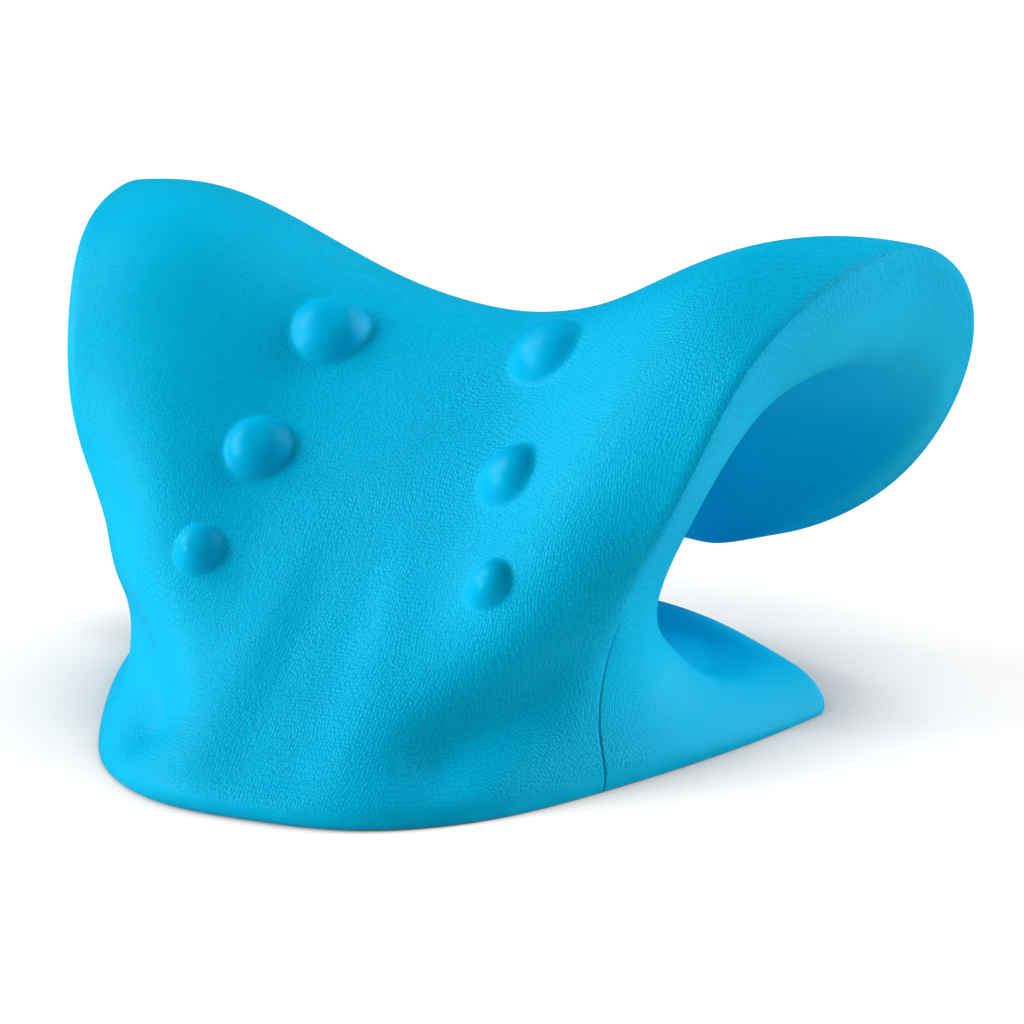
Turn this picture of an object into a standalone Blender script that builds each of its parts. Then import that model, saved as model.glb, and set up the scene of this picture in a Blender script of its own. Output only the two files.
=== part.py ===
"""Cervical traction device: a foam neck cradle that flexes over its own foot.

Metres, +Z up. The origin is on the sole, on the plane of symmetry. The toe of the neck ramp points along -Y and the
free tail of the arch hangs on the +Y side. The moulding is one loft, cut into its working zones by plane cuts.
"""

import bmesh
import bpy
from mathutils import Matrix, Vector

MM = 0.001
GAP = 0.3 * MM

# The loft, from the sole up the stem, over the arch and down to the tail. Millimetres.
# name, outer spine (y, z), rim (x, y, z), inner spine (y, z), roll of the outer face beside the rim (y, z)
SECTIONS = (
    ("sole", (-98, 0), (65, -50, 0), (68, 0), (1, 0)),
    ("foot_edge", (-100, 4), (65, -48.5, 5), (72, 5), (2, 0)),
    ("toe", (-86, 14), (60, -43, 15), (67, 17), (4, 0)),
    ("instep", (-63, 30), (65, -42.5, 32), (21, 16), (1, 2)),
    ("waist", (-46, 45), (67.5, -37, 46), (4.5, 30), (-3, 5)),
    ("stem", (-28, 63), (76, -36, 61), (2, 47), (-3, 8.5)),
    ("shoulder", (-3, 80), (83, -32, 78), (10, 62), (-3, 16)),
    ("arch_front", (12, 90.5), (90, -16, 101), (24, 72), (0, 25)),
    ("crest", (31, 89.5), (101, 14, 112.5), (41, 74), (2, 25)),
    ("arch_rear", (62, 82.3), (107, 58, 116), (58, 69), (3, 20)),
    ("tail_root", (90, 74.5), (114, 92, 89), (72, 61), (8, 16)),
    ("tail", (96, 55), (94, 88, 38), (78, 45), (7, 8)),
    ("tail_edge", (88, 24), (46, 76, 22), (82, 23), (0, 0)),
)
# Flank (x, y, z) and rear corner (x, y, z) of the foot's three sections.
FOOT_CORNERS = (
    ((83, -6, 0), (92, 30, 0)),
    ((84.5, -3, 2), (92, 33, 2.5)),
    ((76, -3, 9), (77, 43, 12.5)),
)
FLANK_X, FLANK_MIX = 0.945, 0.75
CORNER_X, CORNER_MIX = 0.80, 0.75
OUTER_INNER_X, OUTER_RIM_X, OUTER_RIM_MIX = 0.37, 0.75, 0.33
NEAR_RISE = 0.25
REAR_X = 0.5
RIM_INDEX = 3
RIM_CREASE = 0.9
RIM_CREASE_FROM = 3
HEEL_INDEX = 5
HEEL_CREASE = 0.6
HEEL_CREASE_TO = 2
SUBDIVISIONS = 2

# Plane cuts between the zones.
FOOT_TOP = 22 * MM
WEB_TOP = 36 * MM
WEB_REAR = 45 * MM
CRADLE_HALF = 52 * MM
TAIL_FRONT = 62 * MM
REACH = 150 * MM
FLEX_AXIS = (0, -25 * MM, 30 * MM)

# The domes: distance from the middle, height of the centre, half length along the neck, half width. Millimetres.
DOMES = {
    "upper": (28.5, 88.5, 11.0, 9.5),
    "middle": (32.5, 65.5, 9.5, 8.0),
    "lower": (37.5, 44.5, 7.0, 6.0),
}
DOME_HEIGHT = 5 * MM

BLUE = (0.0, 0.37, 0.70, 1.0)
NODE_BLUE = (0.0, 0.40, 0.74, 1.0)


def clear_scene():
    for obj in list(bpy.data.objects):
        bpy.data.objects.remove(obj)


def new_collection(name):
    collection = bpy.data.collections.new(name)
    bpy.context.scene.collection.children.link(collection)
    return collection


def foam(name, colour):
    material = bpy.data.materials.new(name)
    material.use_nodes = True
    shader = material.node_tree.nodes["Principled BSDF"]
    shader.inputs["Base Color"].default_value = colour
    shader.inputs["Roughness"].default_value = 0.55
    shader.inputs["Metallic"].default_value = 0.0
    return material


def half_ring(index):
    """The right half of one section: outer spine, rim, flank, rear corner, inner spine."""
    _, outer, rim, inner, roll = SECTIONS[index]
    outer = Vector((0, *outer))
    rim = Vector(rim)
    inner = Vector((0, *inner))
    outer_near = Vector((OUTER_INNER_X * rim.x, outer.y, outer.z + NEAR_RISE * (rim.z - outer.z)))
    outer_far = outer.lerp(rim, OUTER_RIM_MIX) + Vector((0, *roll))
    outer_far.x = OUTER_RIM_X * rim.x
    if index < len(FOOT_CORNERS):
        flank, corner = (Vector(point) for point in FOOT_CORNERS[index])
    else:
        flank = rim.lerp(inner, FLANK_MIX)
        flank.x = FLANK_X * rim.x
        corner = rim.lerp(inner, CORNER_MIX)
        corner.x = CORNER_X * rim.x
    rear = Vector((REAR_X * corner.x, inner.y, inner.z))
    return [outer, outer_near, outer_far, rim, flank, corner, rear, inner]


def ring(index):
    """A whole section: the right half, and its mirror image back to the outer spine."""
    right = half_ring(index)
    left = [Vector((-p.x, p.y, p.z)) for p in right[1:-1]]
    return [p * MM for p in right + left[::-1]]


def moulding_mesh():
    """The coarse cage of the whole moulding, which Subdivision Surface rounds."""
    bm = bmesh.new()
    crease = bm.edges.layers.float.new("crease_edge")
    rings = [[bm.verts.new(p) for p in ring(i)] for i in range(len(SECTIONS))]
    count = len(rings[0])
    half = count // 2
    for lower, upper in zip(rings, rings[1:]):
        for k in range(count):
            bm.faces.new((lower[k - 1], lower[k], upper[k], upper[k - 1]))
    for cap in (rings[0], rings[-1]):
        for side in (1, -1):
            for k in range(3):
                corners = (k, k + 1, half - 1 - k, half - k)
                bm.faces.new([cap[side * corner % count] for corner in corners])
    for k in range(count):
        bm.edges.get((rings[0][k - 1], rings[0][k]))[crease] = 1.0
    for lower, upper in zip(rings[RIM_CREASE_FROM:], rings[RIM_CREASE_FROM + 1 :]):
        for k in (RIM_INDEX, count - RIM_INDEX):
            bm.edges.get((lower[k], upper[k]))[crease] = RIM_CREASE
    for lower, upper in zip(rings[:HEEL_CREASE_TO], rings[1:]):
        for k in (HEEL_INDEX, count - HEEL_INDEX):
            bm.edges.get((lower[k], upper[k]))[crease] = HEEL_CREASE
    bmesh.ops.recalc_face_normals(bm, faces=bm.faces)
    mesh = bpy.data.meshes.new("moulding")
    bm.to_mesh(mesh)
    bm.free()
    mesh.shade_smooth()
    return mesh


def add_moulding(name, mesh, collection):
    obj = bpy.data.objects.new(name, mesh.copy())
    collection.objects.link(obj)
    round_off = obj.modifiers.new("round", "SUBSURF")
    round_off.levels = SUBDIVISIONS
    round_off.render_levels = SUBDIVISIONS
    return obj


def hide_cutter(obj, cutters):
    for collection in list(obj.users_collection):
        collection.objects.unlink(obj)
    cutters.objects.link(obj)
    obj.hide_render = True
    obj.display_type = "WIRE"
    return obj


def block(name, low, high, cutters):
    """A box cutter between two corners."""
    low, high = Vector(low), Vector(high)
    bpy.ops.mesh.primitive_cube_add(size=1, location=(low + high) / 2)
    obj = bpy.context.object
    obj.name = name
    obj.scale = high - low
    bpy.ops.object.transform_apply(location=False, rotation=False, scale=True)
    return hide_cutter(obj, cutters)


def cut(obj, operation, cutter):
    boolean = obj.modifiers.new(cutter.name, "BOOLEAN")
    boolean.operation = operation
    boolean.solver = "EXACT"
    boolean.object = cutter
    return obj


def paint(obj, material):
    obj.data.materials.clear()
    obj.data.materials.append(material)


def add_zones(mesh, parts, cutters):
    """The moulding cut into foot, web, cradle, tail and wings, with a gap at each cut."""
    low = FOOT_TOP + GAP
    side = CRADLE_HALF + GAP
    far = REACH
    boxes = {
        "foot_base": ((-far, -far, -far), (far, far, FOOT_TOP)),
        "flex_web": ((-far, -far, low), (far, WEB_REAR, WEB_TOP)),
        "neck_cradle": ((-CRADLE_HALF, -far, WEB_TOP + GAP), (CRADLE_HALF, TAIL_FRONT, far)),
        "tail_flap": ((-CRADLE_HALF, TAIL_FRONT + GAP, low), (CRADLE_HALF, far, far)),
        "left_wing": ((-far, -far, low), (-side, far, far)),
        "right_wing": ((side, -far, low), (far, far, far)),
    }
    web_room = block("web_room", (-far, -far, 0), (far, WEB_REAR + GAP, WEB_TOP + GAP), cutters)
    zones = {}
    for name, (corner_low, corner_high) in boxes.items():
        zone = add_moulding(name, mesh, parts)
        cut(zone, "INTERSECT", block(name + "_block", corner_low, corner_high, cutters))
        if name.endswith("_wing"):
            cut(zone, "DIFFERENCE", web_room)
        paint(zone, foam(name, BLUE))
        zones[name] = zone
    return zones


def face_point(skin, x, z):
    """Point and outward normal of the neck face at x and z, found from in front."""
    bpy.context.view_layer.update()
    seen = skin.evaluated_get(bpy.context.evaluated_depsgraph_get())
    _, point, normal, _ = seen.ray_cast(Vector((x, -REACH, z)), Vector((0, 1, 0)))
    return point, normal


def add_dome(name, side, row, skin, parts):
    """An oval dome on the neck face, its long axis running up the slope."""
    x, z, length, width = (value * MM for value in row)
    point, normal = face_point(skin, side * x, z)
    across = Vector((0, 1, 0)).cross(normal).normalized()
    up_slope = normal.cross(across)
    bpy.ops.mesh.primitive_uv_sphere_add(segments=16, ring_count=10, radius=1)
    dome = bpy.context.object
    dome.name = name
    dome.scale = (width, length, DOME_HEIGHT)
    bpy.ops.object.transform_apply(location=False, rotation=False, scale=True)
    dome.rotation_euler = Matrix((across, up_slope, normal)).transposed().to_euler()
    dome.location = point
    for collection in list(dome.users_collection):
        collection.objects.unlink(dome)
    parts.objects.link(dome)
    dome.data.shade_smooth()
    paint(dome, foam(name, NODE_BLUE))
    return cut(dome, "DIFFERENCE", skin)


def add_domes(mesh, parts, cutters):
    """Six smooth domes, each cut to sit a gap above the skin of the neck face."""
    skin = hide_cutter(add_moulding("skin_room", mesh, parts), cutters)
    grow = skin.modifiers.new("grow", "DISPLACE")
    grow.mid_level = 0.0
    grow.strength = GAP
    domes = []
    for row, sizes in DOMES.items():
        for hand, side in (("left", -1), ("right", 1)):
            domes.append(add_dome(f"massage_node_{row}_{hand}", side, sizes, skin, parts))
    return domes


def hang_on_axis(objects, parts):
    """Everything above the web turns about the flex axis."""
    axis = bpy.data.objects.new("arch_flex_axis", None)
    axis.location = FLEX_AXIS
    parts.objects.link(axis)
    bpy.context.view_layer.update()
    for obj in objects:
        obj.parent = axis
        obj.matrix_parent_inverse = axis.matrix_world.inverted()


def main():
    clear_scene()
    parts = new_collection("cervical_traction_device")
    cutters = new_collection("cutters")
    mesh = moulding_mesh()
    zones = add_zones(mesh, parts, cutters)
    domes = add_domes(mesh, parts, cutters)
    bpy.data.meshes.remove(mesh)
    moving = [zone for name, zone in zones.items() if name not in ("foot_base", "flex_web")]
    hang_on_axis(moving + domes, parts)


main()
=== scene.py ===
"""Cervical traction device: the finished look of a one-piece foam moulding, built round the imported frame.

Metres, +Z up, the sole on z = 0, the toe towards -Y. The skin repeats the moulding's loft, and adds the shapes that
are too fine for the frame: the spinal channel, the hollows over the foot, the roll beside the rim, the dish behind
the stem, the blended domes and the parting line.

Each point of the skin knows its section (0 at the sole, 12 at the edge of the tail) and its column round the section
(0 on the outer spine, 3 on the rim, 7 on the inner spine). A constant ending in SECTIONS or COLUMNS is a range of
those numbers, over which a shape or a mask fades.
"""

import math

import bmesh
import bpy
import numpy as np
from mathutils import Matrix, Vector
from mathutils.bvhtree import BVHTree


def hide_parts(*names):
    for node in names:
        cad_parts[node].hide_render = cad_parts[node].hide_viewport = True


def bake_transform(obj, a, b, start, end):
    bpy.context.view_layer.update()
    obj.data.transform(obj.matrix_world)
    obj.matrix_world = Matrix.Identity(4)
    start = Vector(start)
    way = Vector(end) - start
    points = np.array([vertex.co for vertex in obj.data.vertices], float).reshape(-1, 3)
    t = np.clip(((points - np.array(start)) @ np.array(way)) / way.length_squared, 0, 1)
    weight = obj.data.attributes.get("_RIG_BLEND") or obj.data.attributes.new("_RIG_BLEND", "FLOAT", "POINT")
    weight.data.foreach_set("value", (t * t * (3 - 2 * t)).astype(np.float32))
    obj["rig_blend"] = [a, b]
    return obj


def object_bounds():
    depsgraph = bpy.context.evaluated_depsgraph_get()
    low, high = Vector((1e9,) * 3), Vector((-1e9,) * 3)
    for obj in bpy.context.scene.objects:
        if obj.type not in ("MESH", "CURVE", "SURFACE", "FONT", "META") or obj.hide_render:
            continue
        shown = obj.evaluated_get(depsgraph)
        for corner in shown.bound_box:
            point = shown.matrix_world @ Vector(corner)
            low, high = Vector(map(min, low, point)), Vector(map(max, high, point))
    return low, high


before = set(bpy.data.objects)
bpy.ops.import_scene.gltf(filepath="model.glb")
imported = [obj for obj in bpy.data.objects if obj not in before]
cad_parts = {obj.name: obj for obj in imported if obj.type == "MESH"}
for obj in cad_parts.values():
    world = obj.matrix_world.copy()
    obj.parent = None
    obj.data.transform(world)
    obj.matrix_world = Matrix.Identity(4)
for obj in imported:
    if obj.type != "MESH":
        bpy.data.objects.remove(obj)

CAD_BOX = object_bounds()
MM = 0.001
TOLERANCE = 1e-4

# The loft, from the sole up the stem, over the arch and down to the tail. Millimetres.
# name, outer spine (y, z), rim (x, y, z), inner spine (y, z), roll of the outer face beside the rim (y, z)
SECTIONS = (
    ("sole", (-98, 0), (65, -50, 0), (68, 0), (1, 0)),
    ("foot_edge", (-100, 4), (65, -48.5, 5), (72, 5), (2, 0)),
    ("toe", (-86, 14), (60, -43, 15), (67, 17), (4, 0)),
    ("instep", (-63, 30), (65, -42.5, 32), (21, 16), (1, 2)),
    ("waist", (-46, 45), (67.5, -37, 46), (4.5, 30), (-3, 5)),
    ("stem", (-28, 63), (76, -36, 61), (2, 47), (-3, 8.5)),
    ("shoulder", (-3, 80), (83, -32, 78), (10, 62), (-3, 16)),
    ("arch_front", (12, 90.5), (90, -16, 101), (24, 72), (0, 25)),
    ("crest", (31, 89.5), (101, 14, 112.5), (41, 74), (2, 25)),
    ("arch_rear", (62, 82.3), (107, 58, 116), (58, 69), (3, 20)),
    ("tail_root", (90, 74.5), (114, 92, 89), (72, 61), (8, 16)),
    ("tail", (96, 55), (94, 88, 38), (78, 45), (7, 8)),
    ("tail_edge", (88, 24), (46, 76, 22), (82, 23), (0, 0)),
)
# Flank (x, y, z) and rear corner (x, y, z) of the foot's three sections.
FOOT_CORNERS = (
    ((83, -6, 0), (92, 30, 0)),
    ((84.5, -3, 2), (92, 33, 2.5)),
    ((76, -3, 9), (77, 43, 12.5)),
)
FLANK_X, FLANK_MIX = 0.945, 0.75
CORNER_X, CORNER_MIX = 0.80, 0.75
OUTER_INNER_X, OUTER_RIM_X, OUTER_RIM_MIX = 0.37, 0.75, 0.33
NEAR_RISE = 0.25
REAR_X = 0.5
RIM_INDEX = 3
RIM_CREASE = 0.9
RIM_CREASE_FROM = 3
HEEL_INDEX = 5
HEEL_CREASE = 0.6
HEEL_CREASE_TO = 2
SUBDIVISIONS = 4

# The domes: distance from the middle, height of the centre, half length, half width, turn of the long axis from
# straight up the slope (degrees, positive outwards), height. Millimetres.
DOMES = {
    "upper": (28.5, 89.3, 11.0, 9.3, 10, 5.5),
    "middle": (32.5, 66.2, 9.3, 7.8, 5, 5.0),
    "lower": (37.2, 45.4, 6.7, 5.8, 0, 4.2),
}
DOME_POWER = 2.6
DOME_FILLET = 0.06
# Faces this many half lengths (plus a margin, millimetres) from a dome's centre are halved.
DOME_REFINE, DOME_MARGIN = 1.35, 3.0
# In half widths from the centre: where the lift fades out, and the edge of the mask. In heights: how deep it reaches.
DOME_FADE = (2.0, 1.1)
DOME_MASK = (1.15, 0.85)
DOME_DEPTH = 3.0
# The domes are found by looking back from this far in front of the object. Metres.
IN_FRONT = 0.1

# The spinal channel: half width and depth at heights up the face. Millimetres.
CHANNEL = (
    (0, 15, 1.2),
    (14, 14.5, 1.6),
    (36, 12, 1.5),
    (50, 10, 0.6),
    (60, 9, 0.0),
)
CHANNEL_EDGE = (0.35, 1.4)
CHANNEL_COLUMNS = (3.3, 2.6)
CHANNEL_SECTIONS = (0.9, 1.6)

# The hollow between the stem's rounded corner and the skirt of the foot, on each side. Millimetres.
HOLLOW_PATH = ((60, -37, 32), (54, -46, 27), (48, -56, 22), (42, -65, 18), (37, -76, 13))
HOLLOW_WIDTH = 8.5
HOLLOW_DEPTH = 4.2
HOLLOW_START = (-0.1, 0.2)
HOLLOW_COLUMNS = (3.0, 2.3)

# The convex roll just inside the rim: the columns it rises, peaks and ends at, the sections it fades over, how
# steeply it drops to the rim, and its height in millimetres.
ROLL_COLUMNS = (0.9, 2.1, 3.0)
ROLL_SECTIONS = (2.1, 3.6, 5.2, 7.4)
ROLL_POWER = 2.3
ROLL_HEIGHT = 4.0

# The dish behind the stem, on the foot: half width and softness of its edge at places along y. Millimetres.
DISH_HALF = ((0, 66), (8, 70), (18, 71), (28, 69), (36, 64), (44, 56), (52, 44))
DISH_EDGE = ((0, 2.5), (12, 5.0), (30, 10.0))
DISH_DEPTH = 3.2
# Where along y it begins and ends. Millimetres.
DISH_FRONT, DISH_BACK = (1, 9), (50, 34)
DISH_COLUMNS = (3.95, 4.5)
DISH_LOW_SECTIONS, DISH_HIGH_SECTIONS = (0.5, 1.5), (4.5, 3.5)
# Upward faces this near its edge, between these heights, are halved. Millimetres.
DISH_REFINE = 6.0
DISH_FLOOR, DISH_CEILING = 2.0, 30.0
DISH_UPWARD = 0.2

# The parting line: half width of the groove, its shoulder and depth. Millimetres.
SEAM_HALF, SEAM_SHOULDER, SEAM_DEPTH = 0.32, 0.8, 0.55
# The groove fades out between these sections, and fades in from the sole.
SEAM_TOP = 3.7
SEAM_FADE = 2.9
SEAM_FOOT = 0.35
# An edge is split beside the line only if it is this much longer than the split. A quad split twice on both sides of
# the line has eight points.
SEAM_ROOM = 1.2
SEAM_FACE_POINTS = 8

# A point this low (millimetres) on section 0 is on the sole, and a face with this much normal along z is flat.
SOLE_HEIGHT = 0.1
FLAT_NORMAL = 0.9

# The masks that the material reads.
GRAIN_COLUMNS = (3.75, 3.05)
GRAIN_SECTIONS = (0.5, 1.0)
RIM_WIDTH = 0.06
RIM_SECTIONS = (3.0, 4.5)
FOOT_EDGE_SECTIONS = (1.1, 0.6)

# The stem bends over this band; below it the skin follows the foot, above it the arch.
BEND_START = Vector((0, 9.75, 30.8)) * MM
BEND_END = Vector((0, 13.3, 42.1)) * MM

# The grain. Scales are per millimetre, heights are in millimetres.
DRIFT_SCALE, DRIFT = 0.05, 6.0
PEBBLE_SCALE, PEBBLE_RANDOMNESS, PEBBLE_SLOPE = 1.25, 0.45, 1.25
FINE_SCALE, FINE_RANDOMNESS, FINE_SHARE = 2.9, 0.9, 0.15
GRAIN_HEIGHT, SKIN_HEIGHT, SWELL_HEIGHT = 0.21, 0.02, 0.12
SKIN_SCALE, SWELL_SCALE, PATCH_SCALE = 1.6, 0.12, 0.035
# Ramps: from low, from high, to low, to high. The grain is worn in patches, and fades towards -X (millimetres), where
# the light falls on it head-on; the painted shade in its valleys fades with it.
WORN_PATCHES = (0.3, 0.7, 0.7, 1.0)
GRAIN_SIDE_FADE = (-75.0, 10.0, 0.4, 1.0)
VALLEY = (0.35, 0.75)

# The foam's colours: two that drift into each other, then each mask's colour and how much of it is mixed in.
# The valley and rim colours are painted shade; the sole band makes the foam darker towards the sole.
MOTTLE_SCALE = 0.018
FOAM_LIGHT, FOAM_DEEP = (0.0, 0.540, 0.855, 1.0), (0.0, 0.500, 0.805, 1.0)
# Painted shade: the grain's valleys are darkened with this blue, standing in for the shade that falls in them.
VALLEY_SHADE_BLUE, VALLEY_SHADE_MIX = (0.0, 0.235, 0.600, 1.0), 0.36
DOME_BLUE, DOME_MIX = (0.0, 0.330, 0.760, 1.0), 0.25
# Painted shade: a thin darker line along the rim's crease.
RIM_SHADE_BLUE, RIM_SHADE_MIX = (0.0, 0.33, 0.68, 1.0), 0.30
# The foam is darker towards the sole, in noisy patches.
SOLE_BAND_BLUE, SOLE_BAND_MIX = (0.0, 0.26, 0.58, 1.0), 0.25
SEAM_BLUE, SEAM_MIX = (0.0, 0.12, 0.30, 1.0), 0.75
# The painted shade along the rim is broken up by noise of this scale, through this ramp.
RIM_SHADE_SCALE, RIM_SHADE_RAMP = 0.25, (0.35, 0.75, 0.15, 1.0)
SOLE_BAND_SCALE, SOLE_BAND_RAMP = 0.15, (0.3, 0.8, 0.2, 1.0)

# The foam's gloss. The valleys of the grain are rougher and the domes smoother.
ROUGH_SCALE, ROUGH = 0.09, (0.3, 0.7, 0.40, 0.50)
VALLEY_ROUGHER, DOME_SMOOTHER = 0.12, 0.12
SPECULAR_LEVEL, SPECULAR_TINT = 0.17, (0.12, 0.82, 1.0, 1.0)
SHEEN_WEIGHT, SHEEN_ROUGHNESS, SHEEN_TINT = 0.02, 0.45, (0.05, 0.75, 1.0, 1.0)

# The camera: where it stands round the object and what it looks at.
CAMERA_AZIMUTH, CAMERA_ELEVATION = 23.53, 15.07
CAMERA_DISTANCE = 1.1
CAMERA_RIGHT, CAMERA_UP = 0.0198, 0.04595
CAMERA_LENS, CAMERA_SENSOR = 158.2, 36.0

# The softboxes: azimuth and elevation as seen from the object (degrees), size (m), power (W), seen in gloss.
SOFTBOXES = (
    ("key_left", -80, 38, 2.0, 56, True),
    ("front_left", -48, 24, 1.2, 64, True),
    ("top_right", 60, 66, 1.6, 8, False),
    ("side_right", 120, 20, 2.2, 26, False),
    ("back_right", 143, 26, 2.2, 88, False),
)
LIGHT_DISTANCE = 3.2
LIGHT_TARGET = Vector((0, 0, 0.05))
WORLD_LIGHT, WORLD_SEEN = 0.02, 1.0

# The floor glows more with distance (metres), and more again as the camera sees it. It is darker where it touches.
FLOOR_SIZE, FLOOR_SEGMENTS = 20.0, 8
FLOOR_DROP = 0.2
FLOOR_TONE_SCALE = 3.0
FLOOR_TONES = (0.54, 0.50, 0.47, 1.0), (0.56, 0.52, 0.49, 1.0)
FLOOR_ROUGHNESS, FLOOR_SPECULAR = 0.85, 0.1
FLOOR_GLOW_FROM, FLOOR_GLOW_TO = 0.3, 2.5
FLOOR_GLOW_NEAR, FLOOR_GLOW_FAR = 0.41, 0.86
FLOOR_SEEN_GLOW = 0.26
FLOOR_CONTACT_REACH, FLOOR_CONTACT_DARK = 0.09, 0.1
FLOOR_CONTACT_SAMPLES = 16
FLOOR_CONTACT_FROM, FLOOR_CONTACT_TO = 0.40, 0.97

WHITE = (1.0, 1.0, 1.0, 1.0)


def smooth(low, high, value):
    """Smoothstep of value from low to high."""
    t = np.clip((value - low) / (high - low), 0.0, 1.0)
    return t * t * (3.0 - 2.0 * t)


# ---- the cage and its rounded skin ----


def half_ring(index):
    """The right half of one section: outer spine, rim, flank, rear corner, inner spine."""
    _, outer, rim, inner, roll = SECTIONS[index]
    outer = Vector((0, *outer))
    rim = Vector(rim)
    inner = Vector((0, *inner))
    outer_near = Vector((OUTER_INNER_X * rim.x, outer.y, outer.z + NEAR_RISE * (rim.z - outer.z)))
    outer_far = outer.lerp(rim, OUTER_RIM_MIX) + Vector((0, *roll))
    outer_far.x = OUTER_RIM_X * rim.x
    if index < len(FOOT_CORNERS):
        flank, corner = (Vector(point) for point in FOOT_CORNERS[index])
    else:
        flank = rim.lerp(inner, FLANK_MIX)
        flank.x = FLANK_X * rim.x
        corner = rim.lerp(inner, CORNER_MIX)
        corner.x = CORNER_X * rim.x
    rear = Vector((REAR_X * corner.x, inner.y, inner.z))
    return [outer, outer_near, outer_far, rim, flank, corner, rear, inner]


def ring(index):
    """A whole section: the right half, and its mirror image back to the outer spine."""
    right = half_ring(index)
    left = [Vector((-p.x, p.y, p.z)) for p in right[1:-1]]
    return [p * MM for p in right + left[::-1]]


def cage_mesh():
    """The coarse cage. Its points know their section and column, so that the skin's points do too."""
    bm = bmesh.new()
    crease = bm.edges.layers.float.new("crease_edge")
    section = bm.verts.layers.float.new("section")
    column = bm.verts.layers.float.new("column")
    bm.verts.layers.float.new("on_line")
    rings = [[bm.verts.new(p) for p in ring(i)] for i in range(len(SECTIONS))]
    count = len(rings[0])
    half = count // 2
    for i, verts in enumerate(rings):
        for k, vert in enumerate(verts):
            vert[section] = i
            vert[column] = min(k, count - k)
    for lower, upper in zip(rings, rings[1:]):
        for k in range(count):
            bm.faces.new((lower[k - 1], lower[k], upper[k], upper[k - 1]))
    for cap in (rings[0], rings[-1]):
        for side in (1, -1):
            for k in range(3):
                corners = (k, k + 1, half - 1 - k, half - k)
                bm.faces.new([cap[side * corner % count] for corner in corners])
    for k in range(count):
        bm.edges.get((rings[0][k - 1], rings[0][k]))[crease] = 1.0
    for lower, upper in zip(rings[RIM_CREASE_FROM:], rings[RIM_CREASE_FROM + 1 :]):
        for k in (RIM_INDEX, count - RIM_INDEX):
            bm.edges.get((lower[k], upper[k]))[crease] = RIM_CREASE
    for lower, upper in zip(rings[:HEEL_CREASE_TO], rings[1:]):
        for k in (HEEL_INDEX, count - HEEL_INDEX):
            bm.edges.get((lower[k], upper[k]))[crease] = HEEL_CREASE
    bmesh.ops.recalc_face_normals(bm, faces=bm.faces)
    mesh = bpy.data.meshes.new("cage")
    bm.to_mesh(mesh)
    bm.free()
    return mesh


def rounded_skin():
    """The cage after Subdivision Surface, as a bmesh."""
    obj = bpy.data.objects.new("cage", cage_mesh())
    bpy.context.scene.collection.objects.link(obj)
    round_off = obj.modifiers.new("round", "SUBSURF")
    round_off.levels = SUBDIVISIONS
    round_off.render_levels = SUBDIVISIONS
    bpy.context.view_layer.update()
    seen = obj.evaluated_get(bpy.context.evaluated_depsgraph_get())
    bm = bmesh.new()
    bm.from_mesh(seen.to_mesh())
    for face in bm.faces:
        face.smooth = True
    seen.to_mesh_clear()
    bpy.data.objects.remove(obj)
    return bm


def dome_frames(bm):
    """For each dome: centre on the skin, axes (along, across, outwards), half length, half width and height."""
    tree = BVHTree.FromBMesh(bm)
    frames = []
    for x, z, length, width, turn, height in DOMES.values():
        for side in (-1, 1):
            start = Vector((side * x * MM, CAD_BOX[0][1] - IN_FRONT, z * MM))
            point, normal, _, _ = tree.ray_cast(start, Vector((0, 1, 0)))
            across = Vector((0, 1, 0)).cross(normal).normalized()
            along = normal.cross(across)
            spin = Matrix.Rotation(math.radians(-side * turn), 3, normal)
            frames.append((point, (spin @ along, spin @ across, normal), length, width, height))
    return frames


def halve(bm, faces):
    """Halves the faces along every edge."""
    edges = list({e for f in faces for e in f.edges})
    bmesh.ops.subdivide_edges(bm, edges=edges, cuts=1, use_grid_fill=True)


def refine_domes(bm, frames):
    """Halves the faces under each dome, so that its outline is round."""
    for centre, _, length, _, _ in frames:
        reach = (length * DOME_REFINE + DOME_MARGIN) * MM
        halve(bm, [f for f in bm.faces if (f.calc_center_median() - centre).length < reach])


def refine_dish(bm):
    """Halves the faces along the edge of the dish, so that it is crisp."""
    places, halves = np.array(DISH_HALF, float).T
    faces = []
    for face in bm.faces:
        x, y, z = (value / MM for value in face.calc_center_median())
        near_edge = abs(abs(x) - np.interp(y, places, halves)) < DISH_REFINE
        on_foot = 0.0 < y < places[-1] and DISH_FLOOR < z < DISH_CEILING
        if near_edge and on_foot and face.normal.z > DISH_UPWARD:
            faces.append(face)
    halve(bm, faces)


def mark_crisp_edges(bm):
    """The rim above the parting line and the edge of the sole are shaded as true edges."""
    section = bm.verts.layers.float["section"]
    column = bm.verts.layers.float["column"]
    for edge in bm.edges:
        ends = edge.verts
        on_rim = all(abs(v[column] - RIM_INDEX) < TOLERANCE and v[section] > SEAM_FADE for v in ends)
        on_sole = all(v[section] < TOLERANCE and v.co.z < SOLE_HEIGHT * MM for v in ends)
        flat = [abs(f.normal.z) > FLAT_NORMAL for f in edge.link_faces]
        if on_rim or (on_sole and len(flat) == 2 and flat[0] != flat[-1]):
            edge.smooth = False


def cut_seam(bm):
    """Adds two loops at each side of the parting line. Returns the line's points."""
    section = bm.verts.layers.float["section"]
    column = bm.verts.layers.float["column"]
    on_line = [v for v in bm.verts if abs(v[column] - RIM_INDEX) < TOLERANCE and v[section] < SEAM_TOP]
    line = set(on_line)
    for offset in (SEAM_SHOULDER, SEAM_HALF):
        for vert in on_line:
            for edge in list(vert.link_edges):
                other = edge.other_vert(vert)
                if other in line or abs(other[column] - RIM_INDEX) < TOLERANCE:
                    continue
                length = edge.calc_length()
                if length > offset * MM * SEAM_ROOM:
                    bmesh.utils.edge_split(edge, vert, offset * MM / length)
    return on_line


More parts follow.
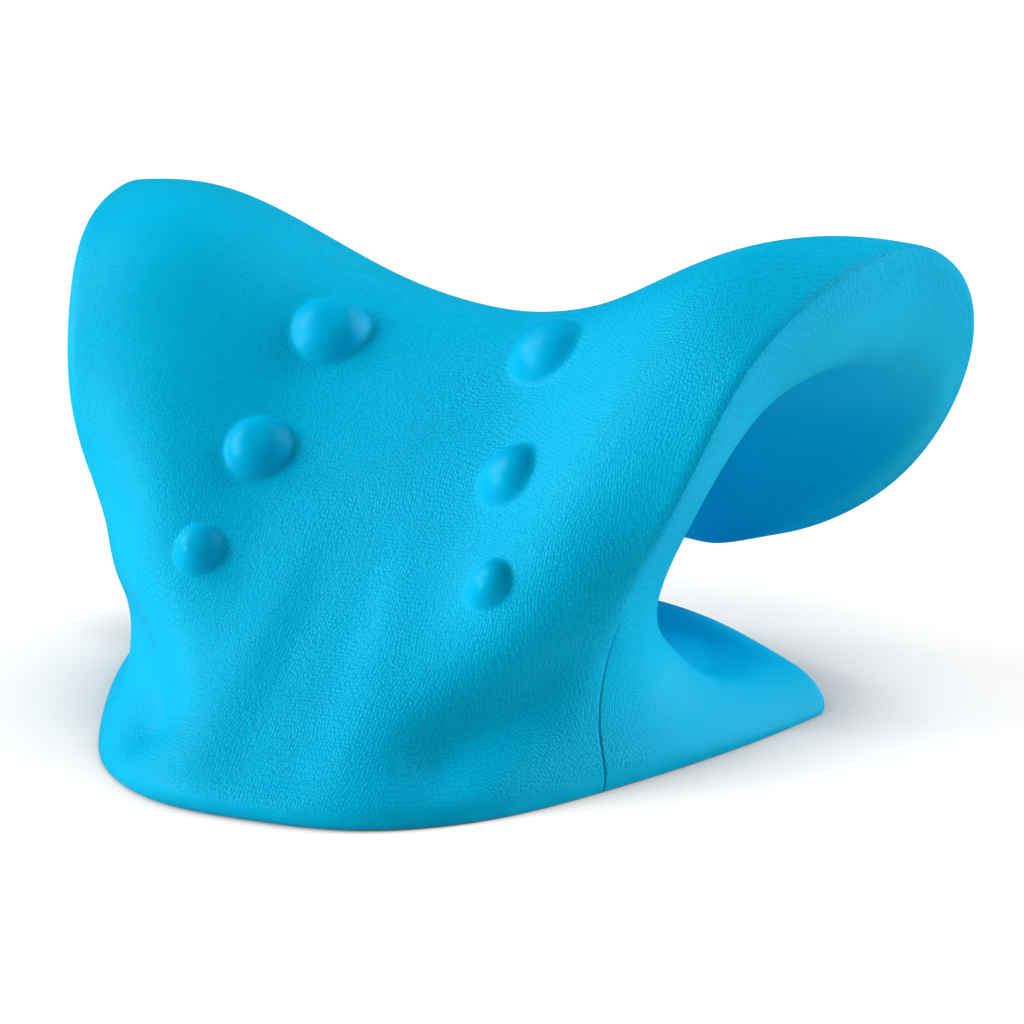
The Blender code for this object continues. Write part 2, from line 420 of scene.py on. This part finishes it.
def join_seam_loops(bm, on_line):
    """Joins the new points across each face beside the line."""
    line = set(on_line)
    for edge in [e for e in bm.edges if e.verts[0] in line and e.verts[1] in line]:
        for face in list(edge.link_faces):
            ends = []
            for vert in edge.verts:
                loop = next(lp for lp in face.loops if lp.vert is vert)
                forward = loop.link_loop_next.vert is not edge.other_vert(vert)
                near = loop.link_loop_next if forward else loop.link_loop_prev
                far = near.link_loop_next if forward else near.link_loop_prev
                ends.append((near.vert, far.vert))
            (near_a, far_a), (near_b, far_b) = ends
            if len(face.verts) >= SEAM_FACE_POINTS:
                outer, _ = bmesh.utils.face_split(face, far_a, far_b)
                inner = next(f for f in near_a.link_faces if near_b in f.verts)
                if outer and inner:
                    bmesh.utils.face_split(inner, near_a, near_b)


def build_skin():
    """The finished moulding as one closed mesh, with masks on its points."""
    bm = rounded_skin()
    frames = dome_frames(bm)
    refine_domes(bm, frames)
    refine_dish(bm)
    on_line = cut_seam(bm)
    join_seam_loops(bm, on_line)
    line_flag = bm.verts.layers.float["on_line"]
    for vert in on_line:
        vert[line_flag] = 1.0
    bm.normal_update()
    mark_crisp_edges(bm)
    mesh = bpy.data.meshes.new("moulded_body")
    bm.to_mesh(mesh)
    bm.free()
    shape(mesh, frames)
    return mesh


# ---- the fine shape ----


def read(mesh, name):
    values = np.empty(len(mesh.vertices), np.float32)
    mesh.attributes[name].data.foreach_get("value", values)
    return values


def read_vectors(mesh, name):
    values = np.empty(len(mesh.vertices) * 3)
    mesh.vertices.foreach_get(name, values)
    return values.reshape(-1, 3)


def store(mesh, name, values, kind="FLOAT"):
    attribute = mesh.attributes.new(name, kind, "POINT")
    field = "vector" if kind == "FLOAT_VECTOR" else "value"
    attribute.data.foreach_set(field, values.astype(np.float32).ravel())


def path_distance(points, path):
    """Distance from each point to a polyline, and how far along it the nearest place is (0 to 1)."""
    best = np.full(len(points), np.inf)
    place = np.zeros(len(points))
    for i, (a, b) in enumerate(zip(path, path[1:])):
        a, b = np.array(a, float), np.array(b, float)
        d = b - a
        t = np.clip((points - a) @ d / (d @ d), 0, 1)
        gap = np.linalg.norm(points - a - t[:, None] * d, axis=1)
        closer = gap < best
        best[closer] = gap[closer]
        place[closer] = (i + t[closer]) / (len(path) - 1)
    return best, place


def move_along_normals(co, section, column, seam):
    """How far each point moves outwards for the channel, the hollows, the roll and the parting line. Millimetres."""
    x, y, z = co.T
    heights, halves, depths = np.array(CHANNEL, float).T
    across = np.abs(x) / np.interp(z, heights, halves)
    floor = 1.0 - smooth(*CHANNEL_EDGE, across)
    front = smooth(*CHANNEL_COLUMNS, column) * smooth(*CHANNEL_SECTIONS, section)
    move = -np.interp(z, heights, depths) * floor * front

    mirrored = np.column_stack((np.abs(x), y, z))
    gap, along = path_distance(mirrored, HOLLOW_PATH)
    hollow = np.exp(-((gap / HOLLOW_WIDTH) ** 2)) * smooth(*HOLLOW_START, along)
    move -= HOLLOW_DEPTH * hollow * smooth(*HOLLOW_COLUMNS, column)

    rise, peak, end = ROLL_COLUMNS
    roll = smooth(rise, peak, column) * (1.0 - np.clip((column - peak) / (end - peak), 0.0, 1.0) ** ROLL_POWER)
    first, full, last, gone = ROLL_SECTIONS
    move += ROLL_HEIGHT * roll * smooth(first, full, section) * smooth(gone, last, section)

    move -= SEAM_DEPTH * seam * smooth(0.0, SEAM_FOOT, section)
    return move


def sink_dish(co, section, column):
    """Lowers the top of the foot behind the stem."""
    behind = smooth(*DISH_COLUMNS, column)
    behind = behind * smooth(*DISH_LOW_SECTIONS, section) * smooth(*DISH_HIGH_SECTIONS, section)
    half = np.interp(co[:, 1], *np.array(DISH_HALF, float).T)
    edge = np.interp(co[:, 1], *np.array(DISH_EDGE, float).T)
    inside = smooth(-1.0, 1.0, (half - np.abs(co[:, 0])) / edge)
    ends = smooth(*DISH_FRONT, co[:, 1]) * smooth(*DISH_BACK, co[:, 1])
    co[:, 2] -= DISH_DEPTH * inside * ends * behind


def raise_domes(co, frames):
    """Raises the six domes out of the skin. Returns their mask."""
    mask = np.zeros(len(co))
    for centre, axes, length, width, height in frames:
        local = (co - np.array(centre) / MM) @ np.array([list(a) for a in axes]).T
        radius = np.hypot(local[:, 0] / length, local[:, 1] / width)
        near = (radius < DOME_FADE[0]) & (np.abs(local[:, 2]) < DOME_DEPTH * height)
        crown = 1.0 - radius[near] ** DOME_POWER
        lift = (crown + np.sqrt(crown**2 + DOME_FILLET**2)) / 2.0
        lift = lift * smooth(*DOME_FADE, radius[near])
        co[near] += height * lift[:, None] * np.array(axes[2])
        mask[near] = np.maximum(mask[near], smooth(*DOME_MASK, radius[near]))
    return mask


def shape(mesh, frames):
    """Moves the skin's points to the fine shape and stores the masks."""
    co = read_vectors(mesh, "co") / MM
    normal = read_vectors(mesh, "normal")
    section, column, line = (read(mesh, name) for name in ("section", "column", "on_line"))
    seam = line * smooth(SEAM_TOP, SEAM_FADE, section)
    co = co + normal * move_along_normals(co, section, column, seam)[:, None]
    sink_dish(co, section, column)
    dome = raise_domes(co, frames)

    mesh.vertices.foreach_set("co", (co * MM).ravel())
    mesh.update()
    grain = smooth(*GRAIN_COLUMNS, column) * (1.0 - dome) * smooth(*GRAIN_SECTIONS, section)
    # The rim mask: a thin band along the rim's crease, where the material paints shade.
    rim = np.exp(-(((column - RIM_INDEX) / RIM_WIDTH) ** 2)) * smooth(*RIM_SECTIONS, section)
    store(mesh, "grain", grain)
    store(mesh, "dome", dome)
    store(mesh, "seam", seam)
    store(mesh, "rim", rim)
    # The foot_edge mask: where the foam is made darker towards the sole.
    store(mesh, "foot_edge", smooth(*FOOT_EDGE_SECTIONS, section))
    store(mesh, "rest_position", co, "FLOAT_VECTOR")
    mesh.attributes.remove(mesh.attributes["on_line"])


# ---- materials ----


class Nodes:
    """Short calls for building one material's node tree."""

    def __init__(self, name):
        self.material = bpy.data.materials.new(name)
        self.material.use_nodes = True
        self.tree = self.material.node_tree
        self.shader = self.tree.nodes["Principled BSDF"]

    def add(self, kind, inputs=None, **settings):
        node = self.tree.nodes.new(kind)
        for key, value in settings.items():
            setattr(node, key, value)
        for key, value in (inputs or {}).items():
            self.put(node.inputs[key], value)
        return node

    def put(self, socket, value):
        if isinstance(value, bpy.types.NodeSocket):
            self.tree.links.new(value, socket)
        else:
            socket.default_value = value

    def set_shader(self, **values):
        """Sets the shader's own sockets: specular_tint is its Specular Tint."""
        for key, value in values.items():
            self.put(self.shader.inputs[key.replace("_", " ").title().replace("Ior", "IOR")], value)

    def math(self, operation, a, b):
        return self.add("ShaderNodeMath", {0: a, 1: b}, operation=operation).outputs[0]

    def times(self, a, b):
        return self.math("MULTIPLY", a, b)

    def ramp(self, value, low, high, to_low=0.0, to_high=1.0):
        inputs = {"Value": value, "From Min": low, "From Max": high, "To Min": to_low, "To Max": to_high}
        return self.add("ShaderNodeMapRange", inputs, interpolation_type="SMOOTHSTEP").outputs[0]

    def mix(self, factor, a, b):
        node = self.add("ShaderNodeMix", data_type="RGBA")
        self.put(node.inputs[0], factor)
        self.put(node.inputs[6], a)
        self.put(node.inputs[7], b)
        return node.outputs[2]

    def attribute(self, name, field="Fac"):
        return self.add("ShaderNodeAttribute", attribute_name=name).outputs[field]

    def noise(self, vector, scale, detail=2.0, roughness=0.5):
        inputs = {"Vector": vector, "Scale": scale, "Detail": detail, "Roughness": roughness}
        return self.add("ShaderNodeTexNoise", inputs).outputs["Fac"]

    def cells(self, vector, scale, randomness):
        inputs = {"Vector": vector, "Scale": scale, "Randomness": randomness}
        return self.add("ShaderNodeTexVoronoi", inputs, feature="F1").outputs["Distance"]

    def vector(self, operation, a, b):
        return self.add("ShaderNodeVectorMath", {0: a, 1: b}, operation=operation).outputs[0]


def foam_material():
    """Moulded foam skin: leather grain on the neck face, smooth elsewhere, with painted shade in the grain's valleys
    and along the rim.
    """
    n = Nodes("moulded_foam_skin")
    place = n.attribute("rest_position", "Vector")
    grain, dome, seam, rim, foot_edge = (n.attribute(name) for name in ("grain", "dome", "seam", "rim", "foot_edge"))

    drift = n.add("ShaderNodeTexNoise", {"Vector": place, "Scale": DRIFT_SCALE, "Detail": 1.0}).outputs["Color"]
    bent = n.vector("ADD", place, n.vector("MULTIPLY", drift, (DRIFT, DRIFT, DRIFT)))
    pebbles = n.cells(bent, PEBBLE_SCALE, PEBBLE_RANDOMNESS)
    fine = n.cells(bent, FINE_SCALE, FINE_RANDOMNESS)
    pebble_height = n.math("SUBTRACT", 1.0, n.times(pebbles, PEBBLE_SLOPE))
    fine_height = n.times(n.math("SUBTRACT", 1.0, fine), FINE_SHARE)
    grain_height = n.math("ADD", pebble_height, fine_height)

    sideways = n.add("ShaderNodeSeparateXYZ", {0: place}).outputs["X"]
    # Wear in patches, and a fade towards -X that stands in for the light falling head-on there; it weakens the grain
    # and its painted valley shade.
    worn = n.times(n.ramp(n.noise(place, PATCH_SCALE), *WORN_PATCHES), n.ramp(sideways, *GRAIN_SIDE_FADE))
    strength = n.times(grain, worn)
    grain_mm = n.times(n.times(grain_height, strength), GRAIN_HEIGHT)
    skin_mm = n.times(n.noise(place, SKIN_SCALE, 4.0, 0.6), SKIN_HEIGHT)
    swell_mm = n.times(n.noise(place, SWELL_SCALE), SWELL_HEIGHT)
    height = n.math("ADD", n.math("ADD", grain_mm, skin_mm), swell_mm)
    bump = n.add("ShaderNodeBump", {"Height": height, "Distance": MM, "Strength": 1.0})

    mottle = n.noise(place, MOTTLE_SCALE, 3.0, 0.55)
    # The grain's valleys: rougher, and darkened with painted shade.
    valley = n.times(n.ramp(pebbles, *VALLEY), strength)
    # Painted shade along the rim's crease, broken up by noise.
    rim_shade = n.times(rim, n.ramp(n.noise(place, RIM_SHADE_SCALE, 3.0), *RIM_SHADE_RAMP))
    # Darker towards the sole, in noisy patches.
    sole_band = n.times(foot_edge, n.ramp(n.noise(place, SOLE_BAND_SCALE, 3.0), *SOLE_BAND_RAMP))
    colour = n.mix(n.ramp(mottle, 0.3, 0.7), FOAM_DEEP, FOAM_LIGHT)
    for mask, amount, tint in (
        (valley, VALLEY_SHADE_MIX, VALLEY_SHADE_BLUE),
        (dome, DOME_MIX, DOME_BLUE),
        (rim_shade, RIM_SHADE_MIX, RIM_SHADE_BLUE),
        (sole_band, SOLE_BAND_MIX, SOLE_BAND_BLUE),
        (seam, SEAM_MIX, SEAM_BLUE),
    ):
        colour = n.mix(n.times(mask, amount), colour, tint)

    rough = n.ramp(n.noise(place, ROUGH_SCALE, 3.0), *ROUGH)
    rough = n.math("ADD", rough, n.times(valley, VALLEY_ROUGHER))
    rough = n.math("SUBTRACT", rough, n.times(dome, DOME_SMOOTHER))

    n.set_shader(base_color=colour, roughness=rough, normal=bump.outputs["Normal"])
    n.set_shader(specular_ior_level=SPECULAR_LEVEL, specular_tint=SPECULAR_TINT)
    n.set_shader(sheen_weight=SHEEN_WEIGHT, sheen_roughness=SHEEN_ROUGHNESS, sheen_tint=SHEEN_TINT)
    return n.material


def floor_material():
    """Pale and matt, glowing so that it stays pale, with contact shade where the object stands."""
    n = Nodes("pale_floor")
    place = n.add("ShaderNodeTexCoord").outputs["Object"]
    tone = n.ramp(n.noise(place, FLOOR_TONE_SCALE, 3.0), 0.3, 0.7)
    away = n.add("ShaderNodeVectorMath", {0: place}, operation="LENGTH").outputs["Value"]
    glow = n.ramp(away, FLOOR_GLOW_FROM, FLOOR_GLOW_TO, FLOOR_GLOW_NEAR, FLOOR_GLOW_FAR)
    seen = n.add("ShaderNodeLightPath").outputs["Is Camera Ray"]
    glow = n.math("ADD", glow, n.times(seen, FLOOR_SEEN_GLOW))
    occlusion = n.add(
        "ShaderNodeAmbientOcclusion", {"Distance": FLOOR_CONTACT_REACH}, samples=FLOOR_CONTACT_SAMPLES
    ).outputs["AO"]
    contact = n.ramp(occlusion, FLOOR_CONTACT_FROM, FLOOR_CONTACT_TO, FLOOR_CONTACT_DARK, 1.0)
    n.set_shader(base_color=n.mix(tone, *FLOOR_TONES), roughness=FLOOR_ROUGHNESS, specular_ior_level=FLOOR_SPECULAR)
    n.set_shader(emission_color=WHITE, emission_strength=n.times(glow, contact))
    return n.material


# ---- the set ----


def add_object(name, data):
    obj = bpy.data.objects.new(name, data)
    bpy.context.scene.collection.objects.link(obj)
    return obj


def add_floor():
    bm = bmesh.new()
    bmesh.ops.create_grid(bm, x_segments=FLOOR_SEGMENTS, y_segments=FLOOR_SEGMENTS, size=FLOOR_SIZE)
    mesh = bpy.data.meshes.new("floor")
    bm.to_mesh(mesh)
    bm.free()
    mesh.materials.append(floor_material())
    floor = add_object("floor", mesh)
    floor.location.z = -FLOOR_DROP * MM
    floor.visible_glossy = False


def add_area(name, azimuth, elevation, size, energy, in_gloss):
    """A square softbox round the object, aimed at its middle."""
    light = bpy.data.lights.new(name, "AREA")
    light.shape = "SQUARE"
    light.size = size
    light.energy = energy
    obj = add_object(name, light)
    a, e = math.radians(azimuth), math.radians(elevation)
    back = Vector((math.sin(a) * math.cos(e), -math.cos(a) * math.cos(e), math.sin(e)))
    obj.location = LIGHT_TARGET + back * LIGHT_DISTANCE
    obj.rotation_euler = (-back).to_track_quat("-Z", "Y").to_euler()
    obj.visible_glossy = in_gloss


def add_world():
    """White where the camera sees past the floor, but nearly dark as a light."""
    world = bpy.data.worlds.new("studio")
    world.use_nodes = True
    background = world.node_tree.nodes["Background"]
    background.inputs["Color"].default_value = WHITE
    rays = world.node_tree.nodes.new("ShaderNodeLightPath")
    shown = world.node_tree.nodes.new("ShaderNodeMapRange")
    shown.inputs["To Min"].default_value = WORLD_LIGHT
    shown.inputs["To Max"].default_value = WORLD_SEEN
    world.node_tree.links.new(rays.outputs["Is Camera Ray"], shown.inputs["Value"])
    world.node_tree.links.new(shown.outputs[0], background.inputs["Strength"])
    bpy.context.scene.world = world


def add_camera():
    a, e = math.radians(CAMERA_AZIMUTH), math.radians(CAMERA_ELEVATION)
    look = Vector((-math.sin(a) * math.cos(e), math.cos(a) * math.cos(e), -math.sin(e)))
    right = Vector((math.cos(a), math.sin(a), 0))
    up = right.cross(look)
    target = right * CAMERA_RIGHT + up * CAMERA_UP
    camera = bpy.data.cameras.new("camera")
    camera.lens = CAMERA_LENS
    camera.sensor_width = CAMERA_SENSOR
    obj = add_object("camera", camera)
    place = Matrix((right, up, -look)).transposed().to_4x4()
    place.translation = target - look * CAMERA_DISTANCE
    obj.matrix_world = place
    bpy.context.scene.camera = obj


def main():
    bpy.context.scene.view_settings.view_transform = "Standard"
    skin = add_object("moulded_body", build_skin())
    skin.data.materials.append(foam_material())
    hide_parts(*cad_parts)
    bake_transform(skin, "foot", "arch", start=BEND_START, end=BEND_END)
    add_floor()
    add_world()
    for softbox in SOFTBOXES:
        add_area(*softbox)
    add_camera()


main()
